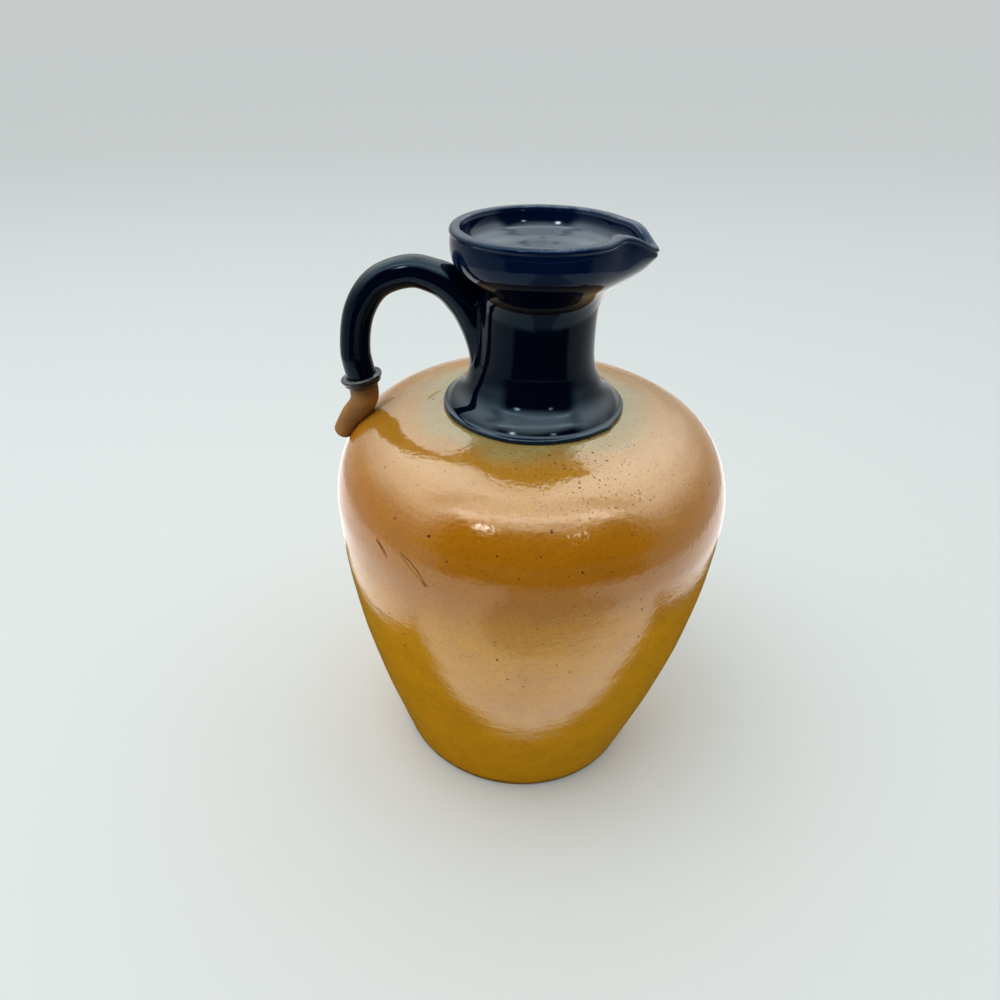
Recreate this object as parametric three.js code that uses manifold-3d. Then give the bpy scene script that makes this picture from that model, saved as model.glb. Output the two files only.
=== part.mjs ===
// A small stoneware whiskey jug with a handle and a pouring lip, thrown and fired as one piece.
// Millimetres, +Z up. The origin is the centre of the flat underside, on the axis the jug was thrown on.
// +X is the side of the spout and -X the side of the handle.

import * as THREE from 'three';
import { mergeVertices } from 'three/addons/utils/BufferGeometryUtils.js';
import Module from 'manifold-3d';

const wasm = await Module();
wasm.setup();

// Body
const footRadius = 42.8;
const footEdgeRound = 1.2;
const bellyRadius = 60.4;
const bellyHeight = 98.8;
const shoulderRise = 29.5;
const shoulderPower = 5.3;
const bodyWall = 5;
const floorThickness = 7;
const floorCornerRound = 9;

// Flange, where the neck's blue glaze ends on the shoulder
const flangeRadius = 26.5;
const flangeThickness = 1.5;
const flangeOverhang = 0.4;

// Neck
const neckRadius = 16.3;
const neckWall = 4.8;
const neckFlareRise = 5.7;
const neckFlareSoftness = 2;

// Rim and the funnel inside it
const rimRise = 50.4;
const rimRadius = 24.4;
const rimWall = 3;
const rimRound = 1.3;
const rimFlareDrop = 12.4;
const rimFlareSoftness = 1.4;
const funnelDrop = 10.5;
const funnelSoftness = 1.8;

// Spout, pulled out of the rim with the thumb pinching it on one side
const spoutAzimuth = THREE.MathUtils.degToRad(-16);
const spoutReach = 6.8;
const spoutTipWall = 2.6;
const spoutTipDrop = 3.6;
const spoutTipSoftness = 0.05;
const spoutTipSpread = THREE.MathUtils.degToRad(11);
const spoutStartDrop = 21.5;
const spoutFullDrop = 2.5;
const spoutLiftDrop = 8.5;
const pinchAngle = THREE.MathUtils.degToRad(23);
const pinchSpread = THREE.MathUtils.degToRad(9);
const pinchDepthNear = 0.09;
const pinchDepthFar = 0.015;
const pinchRise = 0.8;

// Handle, a round rod in one upright plane
const handleAzimuth = THREE.MathUtils.degToRad(175);
const handleRodRadius = 4.45;
const handleRootSwell = 1.7;
const handleRootFade = 0.11;
const handleRootDrop = 21;
const handleRootSink = 2;
const handleCrestReach = 18.7;
const handleCrestDrop = 12.7;
const handleLegInset = 7.8;
const handleLegRise = 8.9;
const riseTurns = [THREE.MathUtils.degToRad(36), THREE.MathUtils.degToRad(59)];
const riseSquareness = 0.9;
const fallTurns = [THREE.MathUtils.degToRad(31), THREE.MathUtils.degToRad(59)];
const fallSquareness = 0.95;

// Tail of the handle's root, a ridge that tapers down the neck
const tailTopDrop = 17.5;
const tailBottomRise = 0.7;
const tailTopThickness = 7.3;
const tailTopWidth = 5.3;
const tailBottomSize = 0.7;
const tailFillet = 7.4;
const tailFilletFade = 3;
const tailSink = 0.3;

// Collar, where the handle's blue glaze ends
const collarRadius = 6.6;
const collarThickness = 2.3;
const collarRise = 12.9;
const collarInset = 1.2;
const collarTilt = THREE.MathUtils.degToRad(11);

// Foot of the handle, bare clay bent over and pressed along the shoulder
const stubRadius = 4.3;
const stubHeelRadius = 4.6;
const stubToeThickness = 3.3;
const stubToeWidth = 4.6;
const stubDrop = 5.8;
const stubHeelInset = 3;
const stubToeReach = 4.7;
const stubHeelLift = 3.6;
const stubToeLift = 1.9;
const stubToeRound = 0.08;
const stubToeBlunt = 0.2;
const stubHeelPlace = 0.5;
const stubHeelSpread = 0.2;

// How finely the round forms are divided
const turnSegments = 40;
const crowding = 0.35;
const wallSteps = 6;
const shoulderSteps = 8;
const flareSteps = 6;
const straightSteps = 2;
const cornerSteps = 3;
const flareSpan = 4;
const rodSides = 12;
const handleSteps = 20;
const tailSteps = 8;
const stubSteps = 10;
const collarSides = 20;
const mergeDistance = 1e-4;
const normalStep = 0.05;

const across = new THREE.Vector3(0, 1, 0);

// A smooth step from 1 far below the height given to 0 far above it.
function fadeOut(z, height, softness) {
  return 1 / (1 + Math.exp((z - height) / softness));
}

// Radius of the body's side below the belly, a quarter wave from the foot to the belly.
function sideRadius(z) {
  return footRadius + (bellyRadius - footRadius) * Math.sin((Math.PI / 2) * (z / bellyHeight));
}

// Height of a shoulder that starts at the belly: an ellipse made squarer by the power of its radius.
function shoulderHeight(radius, startRadius, rise) {
  const share = Math.min(radius / startRadius, 1);
  return bellyHeight + rise * Math.sqrt(1 - share ** shoulderPower);
}

// Height of the outer shoulder at a radius.
function outerShoulder(radius) {
  return shoulderHeight(radius, bellyRadius, shoulderRise);
}

// Outward normal of the outer shoulder at a radius, in the upright plane.
function shoulderNormal(radius) {
  const fall = outerShoulder(radius - normalStep) - outerShoulder(radius + normalStep);
  return new THREE.Vector2(fall, 2 * normalStep).normalize();
}

// Places that follow from the sizes above.
const flangeSeat = outerShoulder(flangeRadius);
const rimHeight = flangeSeat + rimRise;
const boreRadius = neckRadius - neckWall;
const spoutTipRadius = rimRadius + spoutReach;
const handleCrestRadius = neckRadius + handleCrestReach;
const handleLegRadius = bellyRadius - handleLegInset;
const flareHeight = flangeSeat + neckFlareRise;
const innerFlareHeight = flareHeight - bodyWall - flangeThickness;
const flareReach = flangeRadius - neckRadius;

// Radius of the outside of the neck, flaring to the flange below and to the rim above.
function neckOuterRadius(z) {
  const below = flareReach * fadeOut(z, flareHeight, neckFlareSoftness);
  const above = (rimRadius - neckRadius) * (1 - fadeOut(z, rimHeight - rimFlareDrop, rimFlareSoftness));
  return neckRadius + below + above;
}

// Radius of the bore, opening to the body below and to the funnel above.
function neckInnerRadius(z) {
  const below = flareReach * fadeOut(z, innerFlareHeight, neckFlareSoftness);
  const funnelReach = rimRadius - rimWall - boreRadius;
  const above = funnelReach * (1 - fadeOut(z, rimHeight - funnelDrop, funnelSoftness));
  return boreRadius + below + above;
}

// Heights up the neck: close together in both flares, far apart between them.
// flares holds the middle and the softness of the lower flare and of the upper one.
function neckHeights(bottom, top, flares) {
  const [lower, upper] = flares;
  const stops = [
    [bottom, lower.middle + flareSpan * lower.softness, flareSteps],
    [lower.middle + flareSpan * lower.softness, upper.middle - flareSpan * upper.softness, straightSteps],
    [upper.middle - flareSpan * upper.softness, upper.middle + flareSpan * upper.softness, flareSteps],
    [upper.middle + flareSpan * upper.softness, top, 1],
  ];
  const heights = [bottom];
  for (const [from, to, steps] of stops) {
    for (let i = 1; i <= steps; i += 1) {
      heights.push(from + ((to - from) * i) / steps);
    }
  }
  return heights;
}

// Points of a quarter ellipse around a corner, from one angle to another.
function cornerPoints(centreX, centreY, sizeX, sizeY, startAngle, endAngle) {
  const points = [];
  for (let i = 0; i <= cornerSteps; i += 1) {
    const angle = startAngle + ((endAngle - startAngle) * i) / cornerSteps;
    points.push(new THREE.Vector2(centreX + sizeX * Math.cos(angle), centreY + sizeY * Math.sin(angle)));
  }
  return points;
}

// Points of a shoulder from the belly in to a radius, evenly spread round its turn.
function shoulderPoints(startRadius, rise, endRadius) {
  const points = [];
  const endTurn = Math.acos((endRadius / startRadius) ** (shoulderPower / 2));
  for (let i = 1; i <= shoulderSteps; i += 1) {
    const radius = startRadius * Math.cos((endTurn * i) / shoulderSteps) ** (2 / shoulderPower);
    points.push(new THREE.Vector2(radius, shoulderHeight(radius, startRadius, rise)));
  }
  return points;
}

// Outline of the jug's outside, from the middle of the underside to the middle of the mouth.
function outerOutline() {
  const points = [new THREE.Vector2(0, 0)];
  const edgeCentre = sideRadius(footEdgeRound) - footEdgeRound;
  points.push(...cornerPoints(edgeCentre, footEdgeRound, footEdgeRound, footEdgeRound, -Math.PI / 2, 0));
  for (let i = 1; i <= wallSteps; i += 1) {
    const z = footEdgeRound + ((bellyHeight - footEdgeRound) * i) / wallSteps;
    points.push(new THREE.Vector2(sideRadius(z), z));
  }
  points.push(...shoulderPoints(bellyRadius, shoulderRise, flangeRadius - flangeOverhang));
  points.push(new THREE.Vector2(flangeRadius, flangeSeat + flangeOverhang));
  points.push(new THREE.Vector2(flangeRadius, flangeSeat + flangeThickness - flangeOverhang));
  const neckFoot = flangeSeat + flangeThickness;
  const neckTop = rimHeight - rimRound;
  const lower = { middle: flareHeight, softness: neckFlareSoftness };
  const upper = { middle: rimHeight - rimFlareDrop, softness: rimFlareSoftness };
  for (const z of neckHeights(neckFoot, neckTop, [lower, upper])) {
    points.push(new THREE.Vector2(neckOuterRadius(z), z));
  }
  points.push(...cornerPoints(rimRadius - rimRound, neckTop, rimRound, rimRound, 0, Math.PI / 2));
  points.push(new THREE.Vector2(0, rimHeight));
  return points;
}

// Outline of the hollow, from the middle of the floor up through the neck and out past the rim.
function innerOutline() {
  const points = [new THREE.Vector2(0, floorThickness)];
  const cornerTop = floorThickness + floorCornerRound;
  const cornerCentre = sideRadius(cornerTop) - bodyWall - floorCornerRound;
  points.push(...cornerPoints(cornerCentre, cornerTop, floorCornerRound, floorCornerRound, -Math.PI / 2, 0));
  for (let i = 1; i <= wallSteps; i += 1) {
    const z = cornerTop + ((bellyHeight - cornerTop) * i) / wallSteps;
    points.push(new THREE.Vector2(sideRadius(z) - bodyWall, z));
  }
  const shoulderEnd = neckInnerRadius(flangeSeat - bodyWall);
  const innerRise = shoulderRise - bodyWall;
  points.push(...shoulderPoints(bellyRadius - bodyWall, innerRise, shoulderEnd));
  const neckFoot = points[points.length - 1].y;
  const neckTop = rimHeight - rimRound;
  const lower = { middle: innerFlareHeight, softness: neckFlareSoftness };
  const upper = { middle: rimHeight - funnelDrop, softness: funnelSoftness };
  for (const z of neckHeights(neckFoot, neckTop, [lower, upper]).slice(1)) {
    points.push(new THREE.Vector2(neckInnerRadius(z), z));
  }
  const lipRadius = rimRadius - rimWall + rimRound / 2;
  points.push(new THREE.Vector2(lipRadius, rimHeight));
  points.push(new THREE.Vector2(lipRadius, rimHeight + rimRound));
  points.push(new THREE.Vector2(0, rimHeight + rimRound));
  return points;
}

// How much longer the radius is at an angle from the spout: two straight flanks that meet at the tip.
function beakStretch(angle, radius, tipRadius) {
  const flankEnd = Math.acos(radius / tipRadius);
  const turn = Math.hypot(angle, spoutTipSoftness);
  return turn < flankEnd ? 1 / Math.cos(flankEnd - turn) : 1;
}

// A bump round one angle.
function bump(angle, middle, spread) {
  return Math.exp(-(((angle - middle) / spread) ** 2));
}

// Carries a point of the rim to where the spout's pulling and pinching leaves it.
function pullSpout(radius, angle, z, rimSize, tipSize) {
  const start = rimHeight - spoutStartDrop;
  const full = rimHeight - spoutFullDrop;
  const share = THREE.MathUtils.smoothstep(z, start, full);
  const liftShare = THREE.MathUtils.smoothstep(z, rimHeight - spoutLiftDrop, rimHeight);
  const near = bump(angle, -pinchAngle, pinchSpread);
  const far = bump(angle, pinchAngle, pinchSpread);
  const pinch = 1 - pinchDepthNear * near - pinchDepthFar * far;
  const stretch = beakStretch(angle, rimSize, tipSize) * pinch;
  const lift = pinchRise * near - spoutTipDrop * bump(angle, 0, spoutTipSpread);
  return { radius: radius * (1 + share * (stretch - 1)), z: z + liftShare * lift };
}

// A closed solid turned from an outline, with its rim pulled out to the spout.
// Its segments crowd together at the spout, which needs them most.
function turnedSolid(outline, rimSize, tipSize) {
  const geometry = new THREE.LatheGeometry(outline, turnSegments);
  geometry.rotateX(Math.PI / 2);
  const position = geometry.attributes.position;
  for (let i = 0; i < position.count; i += 1) {
    const x = position.getX(i);
    const y = position.getY(i);
    const even = Math.atan2(y, x);
    const angle = even - crowding * Math.sin(even);
    const pulled = pullSpout(Math.hypot(x, y), angle, position.getZ(i), rimSize, tipSize);
    position.setXYZ(i, pulled.radius * Math.cos(angle), pulled.radius * Math.sin(angle), pulled.z);
  }
  geometry.rotateZ(spoutAzimuth);
  return toManifold(geometry);
}

// A closed rod along a curve in the upright plane of the handle.
// sizeAt gives its half thickness in that plane and its half width across it.
function bentRod(curve, steps, sides, sizeAt) {
  const geometry = new THREE.CylinderGeometry(1, 1, 1, sides, steps);
  const position = geometry.attributes.position;
  for (let i = 0; i < position.count; i += 1) {
    const along = position.getY(i) + 0.5;
    const [thickness, width] = sizeAt(along);
    const inPlane = curve.getTangentAt(along).cross(across);
    const point = curve.getPointAt(along);
    point.addScaledVector(inPlane, position.getX(i) * thickness);
    point.addScaledVector(across, position.getZ(i) * width);
    position.setXYZ(i, point.x, point.y, point.z);
  }
  geometry.rotateZ(handleAzimuth);
  return toManifold(geometry);
}

// Turns a geometry into a solid that can be joined and cut.
function toManifold(geometry) {
  const bare = geometry.clone();
  bare.deleteAttribute('normal');
  bare.deleteAttribute('uv');
  const merged = mergeVertices(bare, mergeDistance);
  const corners = merged.index.array;
  const triangles = [];
  for (let i = 0; i < corners.length; i += 3) {
    const [a, b, c] = corners.slice(i, i + 3);
    if (a !== b && b !== c && c !== a) {
      triangles.push(a, b, c);
    }
  }
  return new wasm.Manifold(
    new wasm.Mesh({
      numProp: 3,
      vertProperties: new Float32Array(merged.attributes.position.array),
      triVerts: new Uint32Array(triangles),
    }),
  );
}

// Turns a solid back into a geometry.
function toGeometry(solid) {
  const mesh = solid.getMesh();
  const geometry = new THREE.BufferGeometry();
  geometry.setAttribute('position', new THREE.BufferAttribute(mesh.vertProperties, 3));
  geometry.setIndex(new THREE.BufferAttribute(mesh.triVerts, 1));
  geometry.computeVertexNormals();
  return geometry;
}

// A smooth curve through points given as radius and height in the handle's plane.
function planeCurve(points) {
  return new THREE.CatmullRomCurve3(
    points.map(([radius, z]) => new THREE.Vector3(radius, 0, z)),
    false,
    'centripetal',
  );
}

// Centre of the collar on the handle's leg.
const collarCentre = [handleLegRadius - collarInset, outerShoulder(handleLegRadius - collarInset) + collarRise];

// The handle: out of the neck under the rim, over its crest and down its leg to the collar.
function handleSolid() {
  const rootHeight = rimHeight - handleRootDrop;
  const crestHeight = rimHeight - handleCrestDrop;
  const legHeight = collarCentre[1] + handleLegRise;
  const rootRadius = neckRadius - handleRootSink;
  const points = [[rootRadius, rootHeight]];
  for (const turn of riseTurns) {
    points.push([
      handleCrestRadius - (handleCrestRadius - rootRadius) * Math.cos(turn),
      rootHeight + (crestHeight - rootHeight) * Math.sin(turn) ** riseSquareness,
    ]);
  }
  points.push([handleCrestRadius, crestHeight]);
  for (const turn of fallTurns) {
    points.push([
      handleCrestRadius + (handleLegRadius - handleCrestRadius) * Math.sin(turn) ** fallSquareness,
      legHeight + (crestHeight - legHeight) * Math.cos(turn) ** fallSquareness,
    ]);
  }
  points.push([handleLegRadius, legHeight]);
  points.push(collarCentre);
  return bentRod(planeCurve(points), handleSteps, rodSides, (along) => {
    const size = handleRodRadius + handleRootSwell * Math.exp(-along / handleRootFade);
    return [size, size];
  });
}

// The tail: a ridge on the neck below the handle's root, thinner as it goes down.
function tailSolid() {
  const top = rimHeight - tailTopDrop;
  const bottom = flareHeight + tailBottomRise;
  const points = [];
  for (let i = 0; i <= tailSteps; i += 1) {
    const z = top + ((bottom - top) * i) / tailSteps;
    points.push([neckOuterRadius(z) - tailSink, z]);
  }
  return bentRod(planeCurve(points), tailSteps, rodSides, (along) => {
    const fillet = tailFillet * Math.exp((along * (bottom - top)) / tailFilletFade);
    const thickness = THREE.MathUtils.lerp(tailTopThickness, tailBottomSize, along);
    const width = THREE.MathUtils.lerp(tailTopWidth, tailBottomSize, along ** 2);
    return [thickness + fillet, width];
  });
}

// The collar: a flat ring of glaze and clay with a round edge, tilted with the leg.
function collarSolid() {
  const half = collarThickness / 2;
  const outline = [new THREE.Vector2(0, -half)];
  outline.push(...cornerPoints(collarRadius - half, 0, half, half, -Math.PI / 2, Math.PI / 2));
  outline.push(new THREE.Vector2(0, half));
  const geometry = new THREE.LatheGeometry(outline, collarSides);
  geometry.rotateX(Math.PI / 2);
  geometry.rotateY(collarTilt);
  geometry.translate(collarCentre[0], 0, collarCentre[1]);
  geometry.rotateZ(handleAzimuth);
  return toManifold(geometry);
}

// A point off the shoulder, at a distance along its normal.
function liftedPoint(radius, lift) {
  const normal = shoulderNormal(radius);
  return [radius + lift * normal.x, outerShoulder(radius) + lift * normal.y];
}

// The foot: down from the collar, bent outwards at the heel and pressed along the shoulder to the toe.
function stubSolid() {
  const heel = handleLegRadius - stubHeelInset;
  const toe = handleLegRadius + stubToeReach;
  const middle = (heel + toe) / 2;
  const [collarX, collarZ] = collarCentre;
  const points = [
    [collarX, collarZ],
    [collarX - collarInset / 2, collarZ - stubDrop],
    liftedPoint(heel, stubHeelLift),
    liftedPoint(middle, (stubHeelLift + stubToeLift) / 2),
    liftedPoint(toe, stubToeLift),
  ];
  return bentRod(planeCurve(points), stubSteps, rodSides, (along) => {
    const spread = THREE.MathUtils.smoothstep(along, stubHeelPlace, 1);
    const swell = (stubHeelRadius - stubRadius) * bump(along, stubHeelPlace, stubHeelSpread);
    const intoTip = Math.max(along - 1 + stubToeRound, 0) / stubToeRound;
    const tip = Math.sqrt(Math.max(1 - intoTip ** 2, stubToeBlunt));
    const thickness = THREE.MathUtils.lerp(stubRadius + swell, stubToeThickness, spread);
    const width = THREE.MathUtils.lerp(stubRadius + swell, stubToeWidth, spread);
    return [thickness * tip, width * tip];
  });
}

const glazedStoneware = new THREE.MeshStandardMaterial({ color: 0x9a6a1e, roughness: 0.25, metalness: 0 });

// Everything outside is joined first and the hollow cut last, so nothing reaches into the bore.
function jugMesh() {
  const outside = turnedSolid(outerOutline(), rimRadius, spoutTipRadius);
  const hollow = turnedSolid(innerOutline(), rimRadius - rimWall, spoutTipRadius - spoutTipWall);
  const joined = outside.add(tailSolid()).add(handleSolid()).add(stubSolid()).add(collarSolid());
  const mesh = new THREE.Mesh(toGeometry(joined.subtract(hollow)), glazedStoneware);
  mesh.name = 'jug';
  return mesh;
}

const whiskeyJug = new THREE.Group();
whiskeyJug.add(jugMesh());

export default whiskeyJug;
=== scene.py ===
# %% [markdown]
# A small stoneware whiskey jug: a thrown body in amber salt glaze, a dark blue neck with a pouring lip, and a
# looped handle whose clay foot is left bare. It was fired as one piece, so every surface below stands for a
# region of the same solid. The solid is loaded first and never moved: it says where everything goes.

import math

import bpy
import numpy as np
from mathutils import Matrix, Vector


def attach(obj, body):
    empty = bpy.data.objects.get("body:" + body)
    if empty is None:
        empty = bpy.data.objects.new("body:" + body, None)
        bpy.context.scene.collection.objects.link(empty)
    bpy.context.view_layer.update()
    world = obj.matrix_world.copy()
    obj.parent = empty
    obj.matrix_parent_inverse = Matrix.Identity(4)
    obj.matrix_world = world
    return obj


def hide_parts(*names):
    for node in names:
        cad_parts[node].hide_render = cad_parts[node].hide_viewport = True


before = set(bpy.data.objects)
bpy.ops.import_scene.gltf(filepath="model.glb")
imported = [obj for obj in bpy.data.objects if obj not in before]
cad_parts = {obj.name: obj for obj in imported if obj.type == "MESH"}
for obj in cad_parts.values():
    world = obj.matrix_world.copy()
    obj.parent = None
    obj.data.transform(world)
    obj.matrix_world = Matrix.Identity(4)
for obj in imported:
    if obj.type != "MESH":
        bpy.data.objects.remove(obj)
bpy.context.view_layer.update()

# %% [markdown]
# The camera stands a little left of the jug and looks down at it by about 35 degrees, close enough for strong
# perspective. The small shift is only the photograph's framing.

# %% The camera
MM = 0.001
CAMERA_PLACE = np.array([-21.8, -191.65, 222.94])
CAMERA_DOWN = 35.18
CAMERA_ROLL = -0.26
LENS, SENSOR_WIDTH = 25.465, 36
CAMERA_SHIFT = (0.0403, 0.012)
NEAR_CLIP, FAR_CLIP = 0.01, 50


def set_camera():
    """Put the camera at its place, tilted down from level and rolled about its own view line."""
    data = bpy.data.cameras.new("camera")
    camera = bpy.data.objects.new("camera", data)
    bpy.context.scene.collection.objects.link(camera)
    tilt = Matrix.Rotation(math.radians(90 - CAMERA_DOWN), 4, "X")
    roll = Matrix.Rotation(math.radians(CAMERA_ROLL), 4, "Z")
    camera.matrix_world = Matrix.Translation(Vector(CAMERA_PLACE) * MM) @ tilt @ roll
    data.sensor_width = SENSOR_WIDTH
    data.lens = LENS
    data.shift_x, data.shift_y = CAMERA_SHIFT
    data.clip_start = NEAR_CLIP
    data.clip_end = FAR_CLIP
    bpy.context.scene.camera = camera
    return camera


camera = set_camera()
print("camera", tuple(round(v, 4) for v in camera.location), "lens", LENS)

# %% [markdown]
# A thrown pot is a profile carried round an axis, so most surfaces here are grids of points: one parameter
# runs along the profile and the other round the axis. One helper turns such a grid into a closed mesh. All
# the numbers are millimetres until the last moment, when they become metres.

# %% From a grid of points to a mesh


def ring_quads(rows, columns, closed):
    """Four corners of every cell of a grid whose columns meet, and whose rows meet too if closed is true."""
    i = np.arange(rows if closed else rows - 1)[:, None]
    j = np.arange(columns)[None, :]
    below, above = i * columns, ((i + 1) % rows) * columns
    after = (j + 1) % columns
    return np.stack([below + j, below + after, above + after, above + j], -1).reshape(-1, 4)


def enclosed(vertices, triangles):
    """Six times the signed volume inside some triangles: the sum of each one's corners' triple product."""
    a, b, c = (vertices[triangles[:, k]] for k in range(3))
    return float((a * np.cross(b, c)).sum())


def surface(name, points, closed=False, start=None, end=None):
    """Piece of a (rows, columns, 3) grid; start and end are points that close its first and last rows."""
    rows, columns, _ = points.shape
    vertices = points.reshape(-1, 3)
    quads = ring_quads(rows, columns, closed)
    around = np.arange(columns)
    after = (around + 1) % columns
    fans = np.zeros((0, 3), int)
    for pole, row in ((start, 0), (end, rows - 1)):
        if pole is None:
            continue
        middle = np.full(columns, len(vertices))
        near, far = (after, around) if row == 0 else (around, after)
        fans = np.vstack([fans, np.stack([middle, row * columns + near, row * columns + far], -1)])
        vertices = np.vstack([vertices, pole])
    if enclosed(vertices, np.vstack([quads[:, [0, 1, 2]], quads[:, [0, 2, 3]], fans])) < 0:
        quads, fans = quads[:, ::-1], fans[:, ::-1]
    mesh = bpy.data.meshes.new(name)
    mesh.from_pydata(vertices * MM, [], quads.tolist() + fans.tolist())
    mesh.shade_smooth()
    piece = bpy.data.objects.new(name, mesh)
    bpy.context.scene.collection.objects.link(piece)
    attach(piece, "root")
    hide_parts("jug")
    print(name, len(mesh.vertices), "points,", sum(len(p.vertices) - 2 for p in mesh.polygons), "triangles")
    return piece


def blend_up(value, low, high):
    """0 below low, 1 above high, and a smooth step of three t squared minus two t cubed between."""
    t = np.clip((value - low) / (high - low), 0, 1)
    return t * t * (3 - 2 * t)


def bump(value, middle, spread):
    """A bell of height 1 round one value: e to the minus of the squared distance over the spread."""
    return np.exp(-(((value - middle) / spread) ** 2))


# %% [markdown]
# The potter's outline. Below the belly the side is a quarter wave. Above it the shoulder is an ellipse made
# squarer, which gives the full, high shoulder of such jugs. The neck is a straight tube that flares smoothly
# into the flange below and into the rim above; a smooth step, one over one plus an exponential, does each
# flare. The formulas and most sizes are the solid's, only sampled far more finely. The waist is softer here,
# the rim is drawn in a little at its top, and the funnel starts a little higher.

# %% The outline's sizes and formulas
FOOT_RADIUS, FOOT_ROUND = 42.8, 1.2
BELLY_RADIUS, BELLY_HEIGHT = 60.4, 98.8
SHOULDER_RISE, SHOULDER_POWER = 29.5, 5.3
BODY_WALL, FLOOR, FLOOR_ROUND = 5.0, 7.0, 9.0
FLANGE_RADIUS, FLANGE_THICK = 26.5, 1.5
NECK_RADIUS, NECK_WALL, FLARE_RISE, FLARE_SOFT = 16.3, 4.8, 5.7, 2.0
RIM_RISE, RIM_RADIUS, RIM_WALL, RIM_ROUND = 50.4, 24.4, 3.0, 1.3
RIM_FLARE_DROP, RIM_FLARE_SOFT, FUNNEL_DROP, FUNNEL_SOFT = 12.9, 2.0, 8.0, 1.9
WAIST_SOFT, WAIST_LOW, WAIST_HIGH = 1.3, 2.0, 4.0
RIM_DRAWN, RIM_DRAWN_DROP, RIM_DRAWN_SPREAD = 0.5, 0.5, 2.4
RIDGE_DEEP, RIDGE_PITCH, RIDGE_SPREAD = 0.05, 1.9, 3.2


def side(z):
    """Radius of the side: foot plus a quarter sine wave up to the belly."""
    return FOOT_RADIUS + (BELLY_RADIUS - FOOT_RADIUS) * np.sin(np.pi / 2 * z / BELLY_HEIGHT)


def shoulder(radius, start=BELLY_RADIUS, rise=SHOULDER_RISE):
    """Height of the shoulder: an ellipse's formula, with a power above 2 that makes its corner squarer."""
    return BELLY_HEIGHT + rise * np.sqrt(1 - np.minimum(radius / start, 1) ** SHOULDER_POWER)


def fade_out(z, height, softness):
    """1 far below a height and 0 far above it: one over one plus e to the distance over the softness."""
    return 1 / (1 + np.exp(np.clip((z - height) / softness, -60, 60)))


SEAT = float(shoulder(FLANGE_RADIUS))
RIM_TOP = SEAT + RIM_RISE
FLARE = SEAT + FLARE_RISE
BORE_RADIUS = NECK_RADIUS - NECK_WALL
INNER_FLARE = FLARE - BODY_WALL - FLANGE_THICK


def neck_outside(z):
    """Radius of the neck's outside: the tube, plus the flare to the flange, plus the flare to the rim."""
    softness = FLARE_SOFT + WAIST_SOFT * blend_up(z, FLARE - WAIST_LOW, FLARE + WAIST_HIGH)
    below = (FLANGE_RADIUS - NECK_RADIUS) * fade_out(z, FLARE, softness)
    above = (RIM_RADIUS - NECK_RADIUS) * (1 - fade_out(z, RIM_TOP - RIM_FLARE_DROP, RIM_FLARE_SOFT))
    drawn = RIM_DRAWN * bump(z, RIM_TOP - RIM_DRAWN_DROP, RIM_DRAWN_SPREAD)
    return NECK_RADIUS + below + above - drawn


def neck_inside(z):
    """Radius of the bore, opening to the hollow below and to the finely ridged funnel above."""
    below = (FLANGE_RADIUS - NECK_RADIUS) * fade_out(z, INNER_FLARE, FLARE_SOFT)
    above = (RIM_RADIUS - RIM_WALL - BORE_RADIUS) * (1 - fade_out(z, RIM_TOP - FUNNEL_DROP, FUNNEL_SOFT))
    ridges = RIDGE_DEEP * np.sin(2 * np.pi * z / RIDGE_PITCH) * bump(z, RIM_TOP - FUNNEL_DROP, RIDGE_SPREAD)
    return BORE_RADIUS + below + above + ridges


print("flange seat", round(SEAT, 2), "rim", round(RIM_TOP, 2), "bore", BORE_RADIUS, "mm")

# %% [markdown]
# The body is one closed skin: under the foot, up the outside, through the wall under the flange, and down the
# hollow to the floor. A wheel leaves shallow rings and a wall that isn't quite round. Both are tiny, but a
# glossy glaze shows them as slow waves in its reflections, so they are put in the shape.

# %% The body
BODY_COLUMNS = 360
UNDER_FLANGE = 25.0
# Depth, pitch up the wall and lag of each slow wave.
WHEEL_WAVES = ((0.006, 5.3, 0.4), (0.012, 9.1, 1.7), (0.04, 24.0, 0.2))
OVAL, THINNED = 0.1, 0.18
RIPPLE_DEEP, RIPPLE_PITCH = 0.035, 6.3


def arc(centre, size, start, end, count):
    """Points of a circular arc in the upright plane, from one angle to another in degrees."""
    turn = np.radians(np.linspace(start, end, count))
    return np.stack([centre[0] + size * np.cos(turn), centre[1] + size * np.sin(turn)], -1)


def shoulder_line(start, rise, end, count):
    """Points of a shoulder from the belly in to a radius, evenly spread round its turn."""
    last = np.arccos((end / start) ** (SHOULDER_POWER / 2))
    radius = start * np.cos(np.linspace(0, last, count)) ** (2 / SHOULDER_POWER)
    return np.stack([radius, shoulder(radius, start, rise)], -1)


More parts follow.
